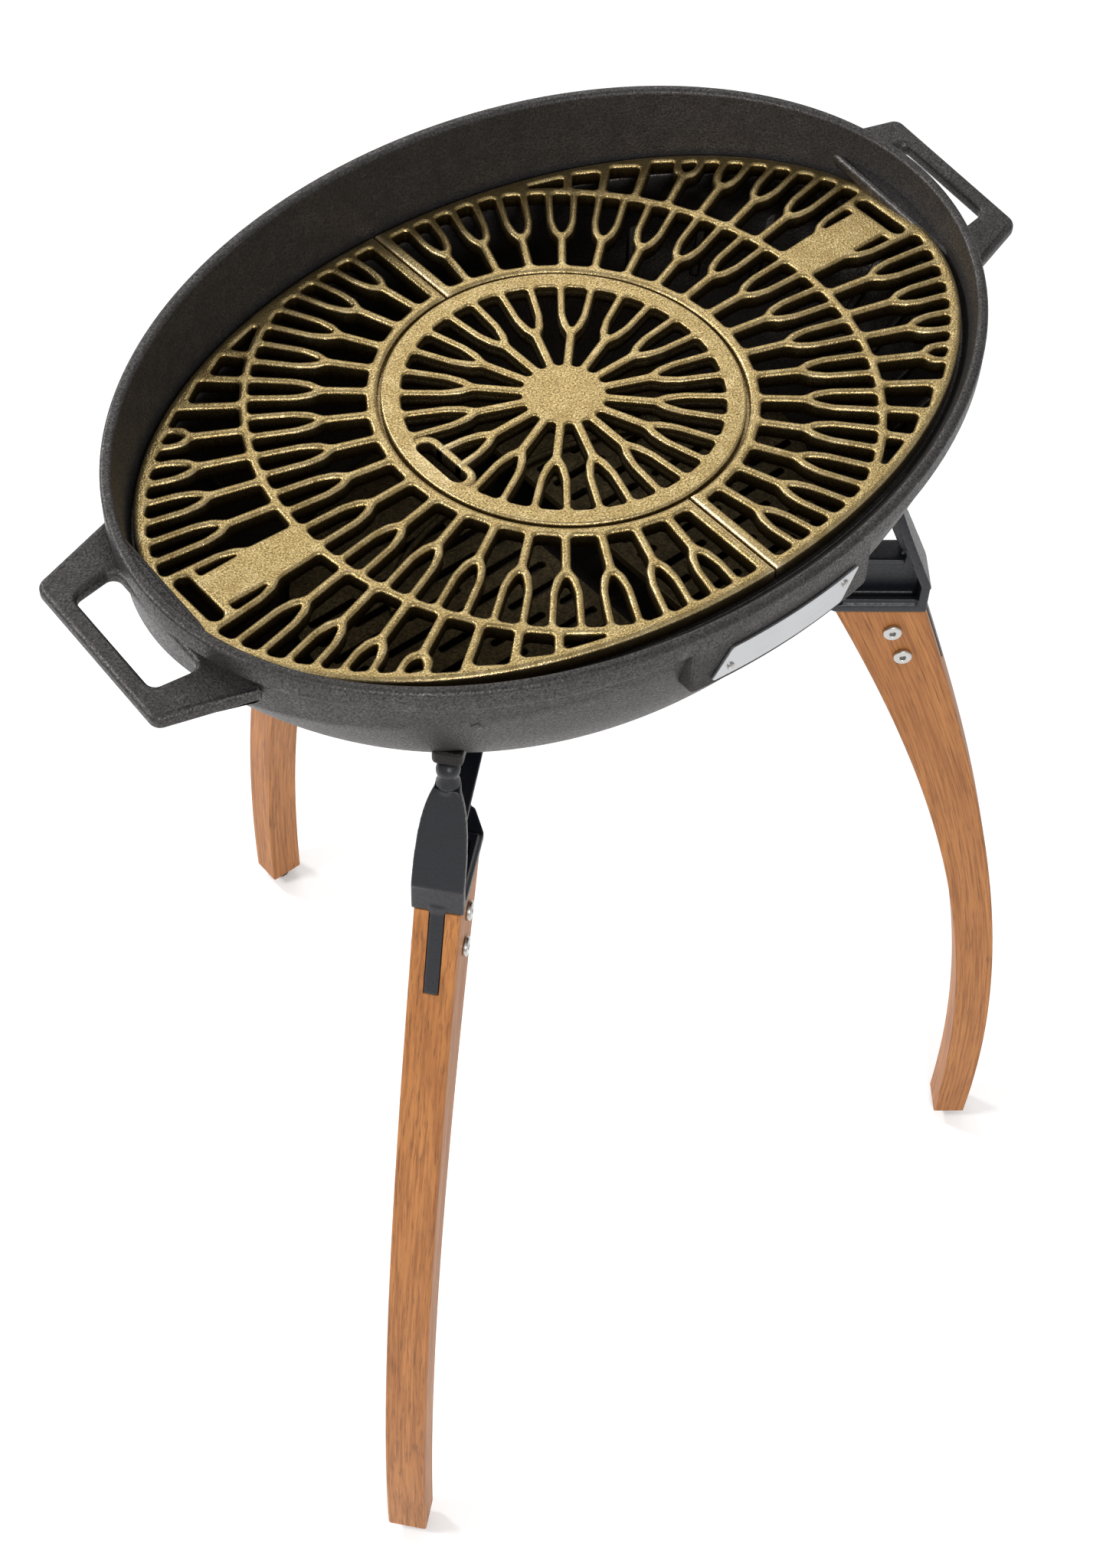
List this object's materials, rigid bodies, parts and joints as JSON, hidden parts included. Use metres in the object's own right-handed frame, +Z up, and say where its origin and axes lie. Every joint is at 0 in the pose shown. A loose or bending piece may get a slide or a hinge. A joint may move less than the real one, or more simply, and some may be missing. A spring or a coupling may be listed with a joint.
{
  "type": "charcoal grill",
  "caption": "Oval cast-iron charcoal grill on wooden tripod legs, with lift-out branching cooking grates, a round centre grate, charcoal plates and cast side handles.",
  "frame": {"origin": "middle of the footprint on the floor, under the whole object's box", "axes": "+X through the right-hand handle, +Y towards the single back leg, with the name plate on the -Y side, +Z up"},
  "size_m": [0.644, 0.5662, 0.8495],
  "materials": {
    "cast_iron": "rough cast, seasoned dark grey",
    "bronze_cast": "cast with a bronze-gold heat coat",
    "oiled_oak": "oiled oak",
    "black_coated_casting": "satin black coat",
    "stainless_steel": "polished",
    "brushed_plate": "satin brushed",
    "black_plastic": "matte"
  },
  "bodies": {
    "stand": {"fire_bowl": "cast_iron", "name_plate": "brushed_plate", "name_plate_rivet_left": "stainless_steel", "name_plate_rivet_right": "stainless_steel", "leg_front_left": "oiled_oak", "leg_front_left_bracket": "black_coated_casting", "leg_front_left_bracket_bolt": "stainless_steel", "leg_front_left_rest_stud": "black_coated_casting", "leg_front_left_bolt_upper": "stainless_steel", "leg_front_left_bolt_lower": "stainless_steel", "leg_front_left_sleeve_nut_upper": "stainless_steel", "leg_front_left_sleeve_nut_lower": "stainless_steel", "leg_front_left_glide_cap": "stainless_steel", "leg_front_left_glide_sole": "black_plastic", "leg_front_right": "oiled_oak", "leg_front_right_bracket": "black_coated_casting", "leg_front_right_bracket_bolt": "stainless_steel", "leg_front_right_rest_stud": "black_coated_casting", "leg_front_right_bolt_upper": "stainless_steel", "leg_front_right_bolt_lower": "stainless_steel", "leg_front_right_sleeve_nut_upper": "stainless_steel", "leg_front_right_sleeve_nut_lower": "stainless_steel", "leg_front_right_glide_cap": "stainless_steel", "leg_front_right_glide_sole": "black_plastic", "leg_back": "oiled_oak", "leg_back_bracket": "black_coated_casting", "leg_back_bracket_bolt": "stainless_steel", "leg_back_rest_stud": "black_coated_casting", "leg_back_bolt_upper": "stainless_steel", "leg_back_bolt_lower": "stainless_steel", "leg_back_sleeve_nut_upper": "stainless_steel", "leg_back_sleeve_nut_lower": "stainless_steel", "leg_back_glide_cap": "stainless_steel", "leg_back_glide_sole": "black_plastic"},
    "cooking_grates": {"cooking_grate_left": "bronze_cast", "cooking_grate_right": "bronze_cast"},
    "round_grate": {"centre_grate": "bronze_cast"},
    "charcoal_plates": {"charcoal_plate_left": "cast_iron", "charcoal_plate_right": "cast_iron"}
  },
  "joints": [
    {"name": "lift_cooking_grates", "type": "slide", "parent": "stand", "child": "cooking_grates", "axis": [0, 0, 1], "range_m": [0, 0.25]},
    {"name": "lift_centre_grate", "type": "slide", "parent": "cooking_grates", "child": "round_grate", "axis": [0, 0, 1], "range_m": [0, 0.2]},
    {"name": "lift_charcoal_plates", "type": "slide", "parent": "stand", "child": "charcoal_plates", "axis": [0, 0, 1], "range_m": [0, 0.09]}
  ]
}
